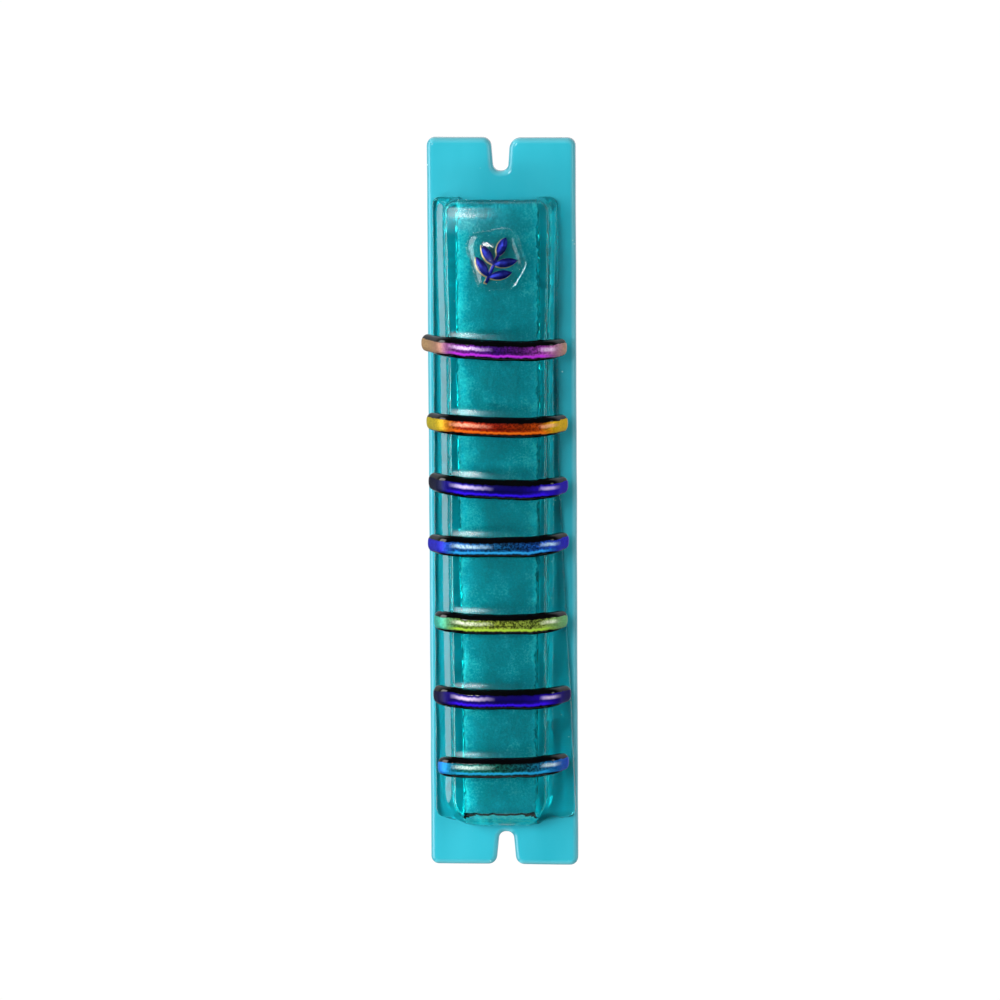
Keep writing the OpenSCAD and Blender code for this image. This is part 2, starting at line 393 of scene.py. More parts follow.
def cover_inner(left, right, half, rise):
    """The cover's underside: flat on the plate, with the pocket hollowed out of its middle."""
    flat_count = RIM_STEPS + FLAT_STEPS
    seam = 0.02
    corner_r = min(0.5, rise / 2)
    straight = np.linspace(0, rise - corner_r, SIDE_STEPS - CORNER_STEPS, endpoint=False)
    wall = [(half, h) for h in straight]
    wall += [(half - corner_r * (1 - math.cos(a)), rise - corner_r * (1 - math.sin(a)))
             for a in np.linspace(0, math.pi / 2, CORNER_STEPS, endpoint=False)]
    roof = np.linspace(corner_r - half, half - corner_r, ROOF_STEPS + 1)
    path = [(x, 0.0) for x in np.linspace(left, POCKET_X - half, flat_count, endpoint=False)]
    path += [(POCKET_X - d, h) for d, h in wall]
    path += [(POCKET_X + d, rise) for d in roof]
    path += [(POCKET_X + d, h) for d, h in reversed(wall)]
    path += [(x, 0.0) for x in np.linspace(right, POCKET_X + half, flat_count, endpoint=False)][::-1]
    return [(x, PLATE_T + seam + h) for x, h in path]


def cover_rows():
    """Heights of the cover's sections, closer together round the lip and down the nose."""
    turns = np.linspace(0, math.pi / 2, LIP_ROWS, endpoint=False)
    lip = [COVER_TOP - LIP_R * (1 - math.cos(a)) for a in turns]
    body = list(np.arange(COVER_TOP - LIP_R, NOSE_TOP, -ROW_STEP))
    return lip + body + list(np.linspace(NOSE_TOP, COVER_TIP, NOSE_ROWS))


def bead(bands, x, z):
    """The swell of cover glass drawn up along each bar's upper side."""
    height, above, reach = 0.17, 1.9, 0.95
    return sum(height * math.exp(-((z - b.z - b.slope * (x - POCKET_X) - above) / reach) ** 2)
               for b in bands)


def outside_row(bands, z):
    """The cover's outside at one height: its points, and how satin the glass is at each."""
    tip_r, tip_gap, lip_drop, mouth_drop, satin_bead = 0.8, 0.3, 0.9, 0.45, 0.05
    lip_height = edge_height(COVER_TOP - z, LIP_R)
    edge = min(lip_height, edge_height(z - COVER_TIP, tip_r))
    thick = EDGE_T + (FLANGE_T - EDGE_T) * edge
    rise = FULL_RISE * edge_height(z - COVER_TIP - tip_gap, NOSE_LENGTH) + (lip_height - 1) * lip_drop
    rise -= mouth_drop * (1 - smooth_step(COVER_TOP - z, 0.6, 3.6))
    by_mouth = 1 - smooth_step(COVER_TOP - z, 5, 8)
    points, satin = [], []
    for x, depth in cover_outer(cover_left(z), cover_right(z), dome_half(z), rise, thick):
        on_roof = smooth_step(depth, PLATE_T + FLANGE_T + 2, ROOF - 0.5)
        swell = bead(bands, x, z)
        depth += on_roof * (crown(x) * rise / FULL_RISE + swell)
        depth += 0.09 * wander(x, z, 6, 6) * smooth_step(depth, PLATE_T + 1, PLATE_T + 3)
        points.append((x, depth, z + cover_drift(x, z)))
        satin.append(on_roof * min(1.0, max(swell / satin_bead, by_mouth)))
    return points, satin


def inside_look(share, opened, near_roof):
    """What the underside looks like at a share of the pocket's half width, however far it opened."""
    if share == 1:
        return "rim"
    if opened < 0.88 - 0.3 * share ** 8:
        return "fused"
    if opened < 0.98:
        return "fold"
    return "roof" if near_roof else "wall"


def inside_row(z):
    """The cover's underside at one height: its points, and what each of them looks like."""
    mouth_half, taper, mouth_rise, least_rise, sag = 8.05, 0.85, 0.7, 0.01, 0.7
    left_frosted_down, right_frosted_down = 2.2, 0.9
    pocket_half = mouth_half - taper * smooth_step(-z, -30, 55)
    # 1 in the pocket, falling to 0 where the cover has sunk onto the plate below it
    opened = smooth_step(z, POCKET_BOTTOM - 2.4, POCKET_BOTTOM + 0.3)
    mouth = mouth_rise * (1 - edge_height(COVER_TOP - z, LIP_R))
    rise = max(least_rise, (POCKET_ROOF - PLATE_T + mouth) * opened)
    by_end = smooth_step(-z, -POCKET_BOTTOM - 1.5, -POCKET_BOTTOM) * smooth_step(-z, 60, 66)
    points, looks = [], []
    for x, depth in cover_inner(cover_left(z), cover_right(z), pocket_half, rise):
        is_left = x < POCKET_X
        share = min(1.0, abs(x - POCKET_X) / pocket_half)
        inside = smooth_step(depth, PLATE_T + 0.1, PLATE_T + 1.5) * opened
        is_wall = smooth_step(abs(x - POCKET_X), pocket_half - 1.2, pocket_half - 0.2)
        rough = 0.10 * wander(x, z, 0.5, 10) + 0.15 * wander(x, z, 1.6, 11)
        jagged = 0.32 * wander(9, z, 0.8, 12 if is_left else 13) + 0.15 * wander(depth, z, 0.6, 14)
        if not is_left:
            jagged += 0.45 * wander(depth / 2, z, 3.4, 16)
        ragged_end = 0.35 * wander(x, 0, 1.1, 15) * by_end
        sunk = sag * share ** 6 * (1 - opened) * smooth_step(z, COVER_TIP + 0.8, POCKET_BOTTOM - 0.6)
        points.append((x + jagged * is_wall * inside, depth + inside * (rough + crown(x)),
                       z + cover_drift(x, z) + ragged_end - sunk))
        frosted_down = left_frosted_down if is_left else right_frosted_down
        near_roof = depth > POCKET_ROOF * opened + PLATE_T * (1 - opened) - frosted_down
        looks.append(inside_look(share, opened, near_roof))
    return points, looks


def build_cover(bands, clear, frosted, fold, fused):
    """One sheet of glass lofted down the case, its pocket open at the top and closed below."""
    rows = cover_rows()
    outer, inner, satin, looks = [], [], [], []
    for z in rows:
        points, values = outside_row(bands, z)
        outer += points
        satin += values
        points, values = inside_row(z)
        inner += points
        looks += values
    faces = thick_sheet(len(rows), len(outer) // len(rows))
    piece = make_piece("cover", outer + inner, faces, CASE, ["pocket_cover"], clear)
    point_attribute(piece, "satin", satin + [0.0] * len(inner))
    for other in (frosted, fold, fused):
        piece.data.materials.append(other)
    first = len(outer)
    for face in piece.data.polygons:
        seen = {looks[v - first] if v >= first else "outside" for v in face.vertices}
        # Faces along the crease take the painted shade, those of the closed end the painted light
        if seen in ({"fold"}, {"fold", "roof"}):
            face.material_index = FOLD
        elif seen <= {"fold", "fused"}:
            face.material_index = FUSED
        elif seen <= {"roof", "fold", "fused"}:
            face.material_index = FROSTED


# ------------------------ bands

BAND_W, BAND_T = 4.3, 2.8
BAND_BEND = math.radians(55)

# How far each bar settled in the kiln, and how far its left and right tails stayed up, in millimetres
BAND_SETTLING = {
    1: (0.3, 0.4, 0.75), 2: (0.15, 0.35, 0.8), 3: (0.3, 0.7, 1.1), 4: (0.0, 0.4, 1.0),
    5: (0.2, 0.6, 0.9), 6: (0.0, 0.85, 0.8), 7: (0.1, 0.5, 0.8),
}


class Band:
    """One bar's route over the cover, read from its CAD node."""

    flat = 9.2

    def __init__(self, index):
        self.index = index
        self.name = f"band_{index}_glass"
        (self.left, self.right), _, _ = box_mm(self.name)
        tip = 0.5
        co = np.array([v.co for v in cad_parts[self.name].data.vertices]) / MM
        ends = [co[co[:, 0] < self.left + tip], co[co[:, 0] > self.right - tip]]
        z_left, z_right = (end[:, 2].mean() for end in ends)
        self.slope = (z_right - z_left) / (self.right - self.left)
        settled, self.left_lift, self.right_lift = BAND_SETTLING[index]
        middle_x = (self.left + self.right) / 2
        self.z = (z_left + z_right) / 2 - self.slope * (middle_x - POCKET_X) - settled
        self.stations = self.route()

    def route(self):
        """Stations along the bar: (x, depth of its underside, direction it bends, distance)."""
        bend_r, step, overrun = 1.7, 0.22, 0.5
        half = []
        for reach in (POCKET_X - self.left + overrun, self.right - POCKET_X + overrun):
            line = [(x, 0.0, 0.0) for x in np.arange(0, self.flat, step)]
            for a in np.arange(0, BAND_BEND, step / (bend_r + BAND_T / 2)):
                line.append((self.flat + bend_r * math.sin(a), -bend_r * (1 - math.cos(a)), a))
            x, depth = self.flat + bend_r * math.sin(BAND_BEND), -bend_r * (1 - math.cos(BAND_BEND))
            bent = (bend_r + BAND_T) * math.sin(BAND_BEND)
            straight = (reach - self.flat - bent) / math.cos(BAND_BEND)
            for d in np.arange(0, max(straight, step), step):
                line.append((x + d * math.cos(BAND_BEND), depth - d * math.sin(BAND_BEND), BAND_BEND))
            half.append(line)
        stations = [(-x, depth, -a) for x, depth, a in reversed(half[0][1:])] + half[1]
        made, distance, last = [], 0.0, stations[0]
        for x, depth, a in stations:
            distance += math.hypot(x - last[0], depth - last[1])
            last = (x, depth)
            made.append((x, depth, a, distance))
        return made

    def end_scale(self, distance):
        """Rounds the bar off towards its two tips."""
        tip_r = 1.5
        return edge_height(min(distance, self.stations[-1][3] - distance), tip_r)

    def tail(self, station):
        """0 along the flat of the bar, rising to 1 at the bottom of its tails."""
        return smooth_step(abs(station[0]), self.flat - 0.5, self.flat + 4)

    def at(self, station, across, out):
        """A point at a station: across the bar's width, and out from its underside."""
        seam, uneven, narrowed, drift = 0.02, 0.05, 0.17, 0.12
        x, depth, a, distance = station
        swell = 1 + uneven * wander(distance, self.index, 6, 20) - narrowed * self.tail(station)
        scale = self.end_scale(distance)
        across *= swell * scale
        out = BAND_T / 2 + (out - BAND_T / 2) * scale
        sag = crown(POCKET_X + min(abs(x), ROOF_HALF + 1))
        lift = self.left_lift * smooth_step(-x, 6, 14) + self.right_lift * smooth_step(x, 6, 14)
        sway = drift * wander(distance, self.index * 3, 9, 21)
        return (POCKET_X + x + out * math.sin(a),
                ROOF + seam + depth + sag + out * math.cos(a),
                self.z + self.slope * x + across + lift + sway)


def section_out(across):
    """How far out a bar's front stands at a distance across it: a soft, rounded crown."""
    side_power, top_power = 2.7, 2.1
    share = min(1.0, abs(across) / (BAND_W / 2))
    return BAND_T * (0.5 + 0.5 * (1 - share ** side_power) ** (1 / top_power))


def build_bar(band, material):
    """The black glass bar: a rounded section drawn along its route, flattened underneath."""
    around, side_power, flattened = 36, 0.8, 1.06
    points = []
    for station in band.stations:
        for k in range(around):
            angle = 2 * math.pi * k / around
            across = BAND_W / 2 * math.copysign(abs(math.cos(angle)) ** side_power, math.cos(angle))
            out = section_out(across)
            if math.sin(angle) < 0:
                out = max(0.0, BAND_T - flattened * out)
            points.append(band.at(station, across, out))
    faces = strips(len(band.stations), around, closed=True)
    faces += [cap(0, around, flip=True), cap(len(points) - around, around)]
    make_piece(f"bar_{band.index}", points, faces, CASE, [band.name], material)


def build_facing(band, material):
    """The dichroic skin on a bar's crown, with ragged edges that spread a little on the tails."""
    across_steps, skin, sunk, tip_scale, fine_grain = 20, 0.05, -0.1, 0.12, 0.004
    fine = []
    for a, b in zip(band.stations, band.stations[1:]):
        fine += [a, tuple((p + q) / 2 for p, q in zip(a, b))]
    fine.append(band.stations[-1])
    fine = [s for s in fine if band.end_scale(s[3]) > tip_scale]
    points = []
    for lift in (skin, sunk):
        for station in fine:
            distance = station[3]
            ragged = [0.16 * wander(distance, band.index, 0.5, 30 + edge)
                      + 0.14 * wander(distance, band.index, 1.7, 32 + edge) for edge in (0, 1)]
            low = -1.4 - 0.4 * band.tail(station) + ragged[0]
            high = 1.0 + 0.2 * band.tail(station) + ragged[1]
            for k in range(across_steps + 1):
                across = low + (high - low) * k / across_steps
                grain = fine_grain * wander(distance, across, 0.3, 35) if lift == skin else 0
                points.append(band.at(station, across, section_out(across) + lift + grain))
    row = across_steps + 1
    piece = make_piece(f"facing_{band.index}", points, thick_sheet(len(fine), row), CASE,
                       [f"band_{band.index}_facing"], material)
    point_attribute(piece, "across", [k / across_steps for k in range(row)] * (2 * len(fine)))


# ------------------------ cabochon and sprig

def build_cabochon(material):
    """A clear pebble with a rounded-shield outline, its flat underside on the roof."""
    rings, corner_r, spacing, seam = 22, 3.4, 0.35, 0.05
    side_power, top_power, lumpy = 3.2, 0.55, 0.08
    corners = [Vector(c) for c in ((-2.9, 2.7), (1.6, 3.5), (3.0, -0.6), (1.5, -3.2), (-1.1, -3.5))]
    height = CABOCHON_DEPTH[1] - CABOCHON_DEPTH[0]
    outline = []
    for angle in np.linspace(0, 2 * math.pi, 90, endpoint=False):
        away = Vector((math.cos(angle), math.sin(angle)))
        outline.append(max(corners, key=away.dot) + away * corner_r)
    outline = resample(outline, spacing)
    around = len(outline)
    left, low = min(p.x for p in outline), min(p.y for p in outline)
    points = []
    for side in (1, 0):
        for ring in range(1, rings + 1):
            share = math.sin(math.pi / 2 * ring / rings)
            for p in outline:
                x = CABOCHON_X[0] + p.x * share - left
                z = CABOCHON_Z[0] + p.y * share - low
                dome = height * (1 - share ** side_power) ** top_power
                dome *= 1 + lumpy * wander(x, z, 3, 40)
                base = ROOF + seam + crown(x)
                points.append((x, base + side * max(dome, 0.0), z))
    faces = strips(rings, around, closed=True, flip=True)
    inner = rings * around
    faces += strips(rings, around, closed=True, first=inner)
    faces += [cap(0, around), cap(inner, around, flip=True)]
    for k in range(around):
        a, b = (rings - 1) * around + k, (rings - 1) * around + (k + 1) % around
        faces.append((b, a, inner + a, inner + b))
    make_piece("cabochon_pebble", points, faces, CASE, ["cabochon"], material)


def leaf_outline(length, width, steps=14):
    """A leaf of two arcs that meet at its points."""
    radius = (length ** 2 + width ** 2) / (4 * width)
    half = math.asin(length / 2 / radius)
    right = [(radius * math.cos(a) - radius + width / 2, length / 2 + radius * math.sin(a))
             for a in np.linspace(-half, half, steps)]
    return right + [(-x, z) for x, z in reversed(right[1:-1])]


def build_sprig(name, material, shift, grow, low, high, nodes):
    """A leaning stem with five leaves, cut from foil: shifted, grown, and from low to high."""
    lean, spread = math.radians(-24), math.radians(55)
    stem_length, foot_half, tip_half = 6.6, 0.34, 0.3
    top_height, middle_height, layer_step, torn = 5.9, 5.1, 0.012, 0.05
    stem = [(-foot_half, 0), (foot_half, 0), (tip_half, stem_length), (-tip_half, stem_length)]
    shapes = [(stem, 0.0, 0.0), (leaf_outline(4.3, 1.9), top_height, 0.0)]
    shapes += [(leaf_outline(4.9, 1.8), height, side * spread)
               for height in (1.3, 4.0) for side in (-1, 1)]
    mid_x, mid_z = sum(CABOCHON_X) / 2 + shift[0], sum(CABOCHON_Z) / 2 + shift[1]
    points, faces = [], []
    for level, (outline, height, turn) in enumerate(shapes):
        first, count = len(points), len(outline)
        centre = sum((Vector(p) for p in outline), Vector((0, 0))) / count
        for depth in (low, high + layer_step * level):
            for x, z in outline:
                away = (Vector((x, z)) - centre).normalized()
                ragged = torn * wander(x * 3, z + level, 0.7, 50)
                p = Vector((x, z)) + away * (grow + ragged)
                p = Matrix.Rotation(turn, 2) @ p + Vector((0, height - middle_height))
                p = Matrix.Rotation(lean, 2) @ p
                points.append((mid_x + p.x, ROOF + depth + crown(mid_x + p.x), mid_z + p.y))
        faces += [cap(first, count, flip=True), cap(first + count, count)]
        faces += strips(2, count, closed=True, first=first)
    make_piece(name, points, faces, CASE, nodes, material)


# ------------------------ parchment

def build_roll(material):
    """A sheet of parchment wound into a loose spiral."""
    thickness, core, gap, wobble, fray = 0.2, 1.95, 0.03, 0.03, 0.25
    per_turn, rows = 72, 60
    outer = (ROLL_X[1] - ROLL_X[0]) / 2
    turns = (outer - core - thickness) / (thickness + gap)
    count = int(turns * per_turn)
    outwards = list(range(count + 1))
    points = []
    for row in range(rows + 1):
        up = row / rows
        z = ROLL_Z[0] + (ROLL_Z[1] - ROLL_Z[0]) * up
        for face, route in ((0, outwards), (thickness, outwards[::-1])):
            for k in route:
                angle = 2 * math.pi * k / per_turn
                radius = core + face + (thickness + gap) * k / per_turn
                radius += wobble * wander(k / 9, up * 4, 1, 60)
                edge = fray * wander(k / 30, 0, 1, 61) if row in (0, rows) else 0
                points.append((POCKET_X + radius * math.cos(angle),
                               ROLL_CENTRE_DEPTH - radius * math.sin(angle),
                               min(max(z + edge, ROLL_Z[0]), ROLL_Z[1])))
    loop = 2 * (count + 1)
    faces = strips(rows + 1, loop, closed=True, flip=True)
    for base, flip in ((0, False), (rows * loop, True)):
        for k in range(count):
            quad = (base + k, base + k + 1, base + loop - 2 - k, base + loop - 1 - k)
            faces.append(quad[::-1] if flip else quad)
    make_piece("parchment", points, faces, SCROLL, ["parchment_roll"], material)


# ------------------------ materials

def colour(code):
    """A linear colour from a six-digit sRGB code."""
    parts = [int(code[i:i + 2], 16) / 255 for i in (0, 2, 4)]
    return [c / 12.92 if c <= 0.04045 else ((c + 0.055) / 1.055) ** 2.4 for c in parts] + [1.0]


COVER_TINT = (0.0, 0.945, 0.943, 1.0)
COVER_DENSITY = 0.4
WHITE = (1, 1, 1, 1)


class Nodes:
    """A material and short calls for the nodes in it."""

    def __init__(self, name):
        self.material = bpy.data.materials.new(name)
        self.material.use_nodes = True
        self.tree = self.material.node_tree
        self.shader = self.tree.nodes["Principled BSDF"]
        self.output = self.tree.nodes["Material Output"]

    def add(self, kind, **settings):
        """A new node, its sockets and its own settings given by name."""
        node = self.tree.nodes.new(kind)
        for key, value in settings.items():
            if key in node.inputs:
                node.inputs[key].default_value = value
            else:
                setattr(node, key, value)
        return node

    def link(self, source, target):
        self.tree.links.new(source, target)

    def feed(self, value, socket):
        """Links a socket to another, or sets it to a constant."""
        if isinstance(value, bpy.types.NodeSocket):
            self.link(value, socket)
        else:
            socket.default_value = value

    def set(self, **sockets):
        """Constants on the shader's own sockets, with _ for each space in their names."""
        for name, value in sockets.items():
            self.shader.inputs[name.replace("_", " ")].default_value = value

    def attribute(self, name):
        """A number kept at the mesh's points."""
        return self.add("ShaderNodeAttribute", attribute_name=name).outputs["Fac"]

    def position(self):
        """Where a point is in its object's own space."""
        return self.add("ShaderNodeTexCoord").outputs["Object"]

    def across_case(self, half):
        """0 to 1 from left to right, over half millimetres to each side of the pocket's middle."""
        split = self.add("ShaderNodeSeparateXYZ")
        self.link(self.position(), split.inputs["Vector"])
        ends = {"From Min": (POCKET_X - half) * MM, "From Max": (POCKET_X + half) * MM}
        across = self.add("ShaderNodeMapRange", **ends)
        self.link(split.outputs["X"], across.inputs["Value"])
        return across.outputs["Result"]

    def cells(self, size_mm):
        """Cells in object space, about size_mm across."""
        texture = self.add("ShaderNodeTexVoronoi", Scale=1 / (size_mm * MM))
        self.link(self.position(), texture.inputs["Vector"])
        return texture

    def grain(self, size_mm, detail=2.0, roughness=0.5, stretch=(1, 1, 1)):
        """Noise in object space whose features are about size_mm across."""
        where = self.position()
        if stretch != (1, 1, 1):
            mapping = self.add("ShaderNodeMapping", Scale=stretch)
            self.link(where, mapping.inputs["Vector"])
            where = mapping.outputs["Vector"]
        texture = self.add("ShaderNodeTexNoise", Scale=1 / (size_mm * MM), Detail=detail,
                           Roughness=roughness)
        self.link(where, texture.inputs["Vector"])
        return texture.outputs["Fac"]

    def ramp(self, factor, stops):
        """A colour ramp over stops of (position, colour code or grey level)."""
        node = self.add("ShaderNodeValToRGB")
        elements = node.color_ramp.elements
        while len(elements) < len(stops):
            elements.new(0.5)
        for element, (position, value) in zip(elements, stops):
            element.position = position
            element.color = colour(value) if isinstance(value, str) else (value, value, value, 1)
        self.link(factor, node.inputs["Fac"])
        return node.outputs["Color"]

    def mix(self, factor, a, b, blend="MIX"):
        """Colour a turned into b by factor; the node's colour sockets are told apart by number."""
        node = self.add("ShaderNodeMix", data_type="RGBA", blend_type=blend)
        for number, value in ((0, factor), (6, a), (7, b)):
            self.feed(value, node.inputs[number])
        return node.outputs[2]

    def tinted(self, a, b):
        """Colour a multiplied by colour b."""
        return self.mix(1.0, a, b, "MULTIPLY")

    def product(self, a, b):
        """Number a multiplied by number b."""
        node = self.add("ShaderNodeMath", operation="MULTIPLY")
        self.feed(a, node.inputs[0])
        self.feed(b, node.inputs[1])
        return node.outputs["Value"]

    def paint(self, source):
        """The surface's own colour."""
        self.link(source, self.shader.inputs["Base Color"])

    def bump(self, height, distance_mm, strength):
        """A relief over the whole surface, distance_mm deep."""
        node = self.add("ShaderNodeBump", Distance=distance_mm * MM, Strength=strength)
        self.link(height, node.inputs["Height"])
        self.link(node.outputs["Normal"], self.shader.inputs["Normal"])

    def absorb(self, tint=COVER_TINT, density_per_mm=COVER_DENSITY):
        """Tints light on its way through the glass, like the cover's unless told otherwise."""
        volume = self.add("ShaderNodeVolumeAbsorption", Color=tint, Density=density_per_mm / MM)
        self.link(volume.outputs["Volume"], self.output.inputs["Volume"])


def plate_material():
    """Opaque turquoise glass: even colour with faint streaks, a wet gloss and tiny seeds, with a paler
    painted highlight along its front edges and painted shade on its left edge.
    """
    n = Nodes("plate_glass")
    streaks = n.grain(14, detail=3, stretch=(1, 1, 0.35))
    base = n.ramp(streaks, [(0.3, "2aa9bc"), (0.7, "3ab8cb")])
    # Painted highlight: the front edges turn paler, standing in for light glowing through and off them
    base = n.mix(n.product(n.attribute("rim"), 0.6), base, colour("8ad8e2"))
    # Painted shade: the left edge darkened
    base = n.mix(n.attribute("left_rim_painted_shade"), base, colour("4698a8"))
    is_seed = n.ramp(n.cells(3.4).outputs["Distance"], [(0.03, 1.0), (0.055, 0.0)])
    n.paint(n.mix(is_seed, base, colour("b8ecee")))
    n.set(Roughness=0.07, IOR=1.5)
    n.bump(n.grain(5, detail=1), 0.03, 0.4)
    return n.material


def cover_material():
    """Clear teal glass, tinted through its whole thickness and a little softer beside the bars."""
    n = Nodes("cover_glass")
    n.paint(n.ramp(n.grain(8), [(0.3, "f2fcfc"), (0.7, "ffffff")]))
    n.set(IOR=1.5, Transmission_Weight=1.0)
    n.link(n.ramp(n.attribute("satin"), [(0.0, 0.02), (1.0, 0.2)]), n.shader.inputs["Roughness"])
    n.bump(n.grain(4, detail=1), 0.04, 0.4)
    n.absorb()
    return n.material


def frosted_material():
    """The pocket's inner face, left granular by the core it was slumped over, with painted light
    towards its sides and painted shade in its middle.
    """
    n = Nodes("cover_frosted")
    cloud = n.ramp(n.grain(5, detail=5, roughness=0.6), [(0.42, 0.0), (0.62, 1.0)])
    speck = n.ramp(n.grain(0.4, detail=3, roughness=0.75), [(0.42, 0.0), (0.62, 1.0)])
    # Painted light and shade: lighter towards the pocket's sides and darker in its middle
    sides = n.ramp(n.across_case(8.2), [(0.0, 1.0), (0.16, 0.6), (0.4, 0.05), (0.75, 0.25), (1.0, 0.7)])
    light = n.mix(0.6, sides, n.mix(0.5, cloud, speck))
    n.paint(n.ramp(light, [(0.1, "0694a6"), (0.45, "12b4c6"), (0.9, "70f0f4")]))
    n.set(Roughness=0.45, IOR=1.5, Transmission_Weight=0.25)
    n.bump(n.grain(0.35, detail=2), 0.15, 0.8)
    n.absorb()
    return n.material


def fold_material():
    """The crease where the pocket's roof turns down to its closed end, painted near-black as painted
    shade.
    """
    n = Nodes("cover_fold_painted_shade")
    # Painted shade: near-black stands in for the shadow at the pocket's end
    n.paint(n.ramp(n.grain(0.8, detail=3), [(0.3, "010809"), (0.7, "04282c")]))
    n.set(Roughness=0.6, Specular_IOR_Level=0.0)
    n.absorb()
    return n.material


def fused_material():
    """The pocket's closed end, where the cover fused to the plate, painted pale as painted light seen
    through the glass.
    """
    n = Nodes("cover_fused_painted_light")
    # Painted light: a pale teal stands in for the light the closed end would catch
    n.paint(n.ramp(n.grain(1.2, detail=3), [(0.3, "2cdcec"), (0.7, "7cffff")]))
    n.set(Roughness=0.6, Specular_IOR_Level=0.0)
    n.bump(n.grain(0.5, detail=2), 0.08, 0.6)
    n.absorb()
    return n.material


def bar_material():
    """Glossy black glass."""
    n = Nodes("bar_glass")
    n.paint(n.ramp(n.grain(3, detail=3), [(0.3, "020203"), (0.8, "060608")]))
    n.set(Roughness=0.08, IOR=1.5)
    n.bump(n.grain(1.6, detail=2), 0.05, 0.5)
    return n.material


def facing_material(index, colours, last_places, edge, glint, sparkle, painted_middle_shade):
    """Dichroic coating: its colour turns along the bar, fine grain breaks up its shine, and it carries
    painted highlights, a painted reflection and painted shade.
    """
    n = Nodes(f"dichroic_{index}")
    stops = list(zip((0.03, 0.12, 0.25, 0.5) + last_places, colours.split()))
    along, across = n.across_case(15.5), n.attribute("across")
    cells = n.cells(0.3)
    grain = n.grain(0.36, detail=3, roughness=0.75)

    # Fine grain, calm on the tails
    on_bar = n.ramp(along, [(0.15, 0.35), (0.22, 1.0), (0.8, 1.0), (0.9, 0.35)])
    grainy = n.product(on_bar, sparkle)
    flakes = n.ramp(cells.outputs["Color"], [(0.25, 0.2), (0.5, 0.7), (0.7, 1.0)])
    crackle = n.ramp(grain, [(0.4, 0.08), (0.5, 1.0)])
    shade = n.mix(grainy, WHITE, n.tinted(flakes, crackle))
    specks = n.mix(grainy, WHITE, n.ramp(grain, [(0.4, 0.35), (0.56, 1.0)]))

    # Painted light along the bar: a painted highlight in its upper half, and a painted reflection in
    # colour on its lower edge
    upper = n.ramp(across, [(0.38, 0.0), (0.56, 1.0), (0.76, 1.0), (0.94, 0.0)])
    core = n.ramp(across, [(0.46, 0.0), (0.62, 1.0), (0.72, 1.0), (0.88, 0.0)])
    lower = n.ramp(across, [(0.04, 0.5), (0.12, 1.0), (0.18, 1.0), (0.3, 0.0)])
    # Painted shade: a darker stripe across the bar and a darker middle along it, where it faces the dim
    # room
    dim = n.ramp(across, [(0.3, 1.0), (0.46, 0.45), (0.6, 0.8), (0.85, 0.8), (1.0, 0.3)])
    flat = n.ramp(along, [(0.15, 0.0), (0.22, 1.0), (0.8, 1.0), (0.9, 0.0)])
    bright = n.ramp(along, [(0.17, 0.0), (0.25, 1.0), (0.3, 1.0), (0.48, 0.0),
                            (0.77, 0.0), (0.83, 0.9), (0.87, 0.7), (0.92, 0.0)])
    middle = n.ramp(along, [(0.12, 1.0), (0.36, 0.6), (0.48, 0.2), (0.66, 0.25), (0.82, 1.0)])
    middle = n.mix(painted_middle_shade, WHITE, middle)
    middle = n.mix(flat, middle, n.tinted(middle, dim))

    # Painted reflection: the lower edge takes its own bright colour
    low_edge = n.product(lower, flat)
    hue = n.mix(low_edge, n.ramp(along, stops), colour(edge))
    level = n.mix(low_edge, n.tinted(middle, shade), WHITE)
    # Painted highlight: the upper half lifted towards white along the bright stretches near both bends
    sheen = n.product(n.product(upper, bright), 0.5)
    tint = n.tinted(hue, n.mix(sheen, level, WHITE))
    # Painted glints: near-white in the core of those highlights, broken by specks
    glints = n.product(n.product(bright, core), specks)
    n.paint(n.mix(glints, tint, colour(glint)))
    n.set(Metallic=0.45, Roughness=0.36, Specular_IOR_Level=0.15)
    n.bump(cells.outputs["Distance"], 0.02, 1.0)
    return n.material


def clear_material():
    """Clear glass, its index low so that the foil inside stays in view."""
    n = Nodes("clear_glass")
    n.paint(n.ramp(n.grain(6), [(0.3, "f4fcfc"), (0.7, "ffffff")]))
    n.set(Roughness=0.03, IOR=1.2, Transmission_Weight=1.0, Coat_Weight=1.0, Coat_Roughness=0.12)
    n.bump(n.grain(3, detail=1), 0.04, 0.5)
    n.absorb((0.75, 0.95, 0.95, 1.0), 0.02)
    return n.material


def foil_material(name, dark, light):
    """Crumpled metal foil."""
    n = Nodes(name)
    n.paint(n.ramp(n.grain(0.5, detail=3), [(0.3, dark), (0.7, light)]))
    n.set(Metallic=0.8, Roughness=0.3)
    n.bump(n.grain(0.3, detail=2), 0.04, 0.8)
    return n.material


def parchment_material():
    """Cloudy, matt skin."""
    n = Nodes("parchment")
    n.paint(n.ramp(n.grain(4, detail=5, roughness=0.65), [(0.25, "cdb98c"), (0.75, "ead9b4")]))
    n.set(Roughness=0.75)
    n.bump(n.grain(0.8, detail=4), 0.05, 0.5)
    return n.material


